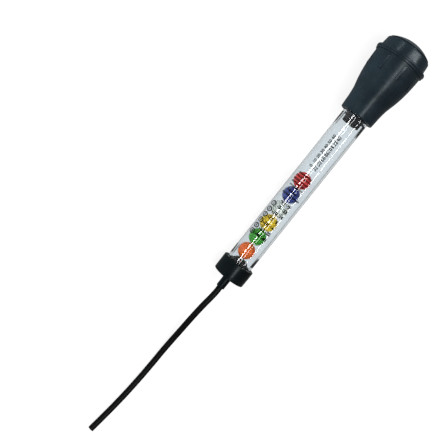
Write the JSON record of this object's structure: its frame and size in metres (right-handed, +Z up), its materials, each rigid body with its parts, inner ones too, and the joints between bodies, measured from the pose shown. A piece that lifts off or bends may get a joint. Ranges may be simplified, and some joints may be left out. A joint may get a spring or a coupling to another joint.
{
  "type": "antifreeze tester",
  "caption": "Antifreeze tester with a rubber squeeze bulb, a clear barrel of coloured float balls, an end cap and a limp pickup hose.",
  "frame": {"origin": "on the table, under the middle of the rigid pieces' bounding box, with the hose left out", "axes": "+X along the barrel from the end cap towards the squeeze bulb, +Z up; the barrel itself rises 2.2 degrees towards the bulb, because the bulb's flange is wider than the end cap"},
  "size_m": [0.349, 0.038, 0.038],
  "materials": {
    "bulb_rubber": "soft satin, blue-black",
    "clear_plastic": "clear and polished",
    "plug_plastic": "moulded, black",
    "orange_plastic": "smooth",
    "green_plastic": "smooth",
    "yellow_plastic": "smooth",
    "white_plastic": "smooth, slightly translucent",
    "blue_plastic": "smooth",
    "red_plastic": "smooth",
    "hose_rubber": "smooth, limp"
  },
  "bodies": {
    "tester": {"squeeze_bulb": "bulb_rubber", "barrel": "clear_plastic", "ball_stop": "plug_plastic", "ball_seat": "plug_plastic", "end_cap": "bulb_rubber", "pickup_hose": "hose_rubber"},
    "orange_float": {"ball_orange": "orange_plastic"},
    "green_float": {"ball_green": "green_plastic"},
    "yellow_float": {"ball_yellow": "yellow_plastic"},
    "white_float": {"ball_white": "white_plastic"},
    "blue_float": {"ball_blue": "blue_plastic"},
    "red_float": {"ball_red": "red_plastic"}
  },
  "joints": [
    {"name": "orange_rise", "type": "slide", "parent": "tester", "child": "orange_float", "axis": [0.9993, 0, 0.0384], "range_m": [0, 0.0071]},
    {"name": "green_rise", "type": "slide", "parent": "orange_float", "child": "green_float", "axis": [0.9993, 0, 0.0384], "range_m": [0, 0.0071]},
    {"name": "yellow_rise", "type": "slide", "parent": "green_float", "child": "yellow_float", "axis": [0.9993, 0, 0.0384], "range_m": [0, 0.0071]},
    {"name": "white_rise", "type": "slide", "parent": "yellow_float", "child": "white_float", "axis": [0.9993, 0, 0.0384], "range_m": [0, 0.0071]},
    {"name": "blue_rise", "type": "slide", "parent": "white_float", "child": "blue_float", "axis": [0.9993, 0, 0.0384], "range_m": [0, 0.0071]},
    {"name": "red_rise", "type": "slide", "parent": "blue_float", "child": "red_float", "axis": [0.9993, 0, 0.0384], "range_m": [0, 0.0071]}
  ]
}
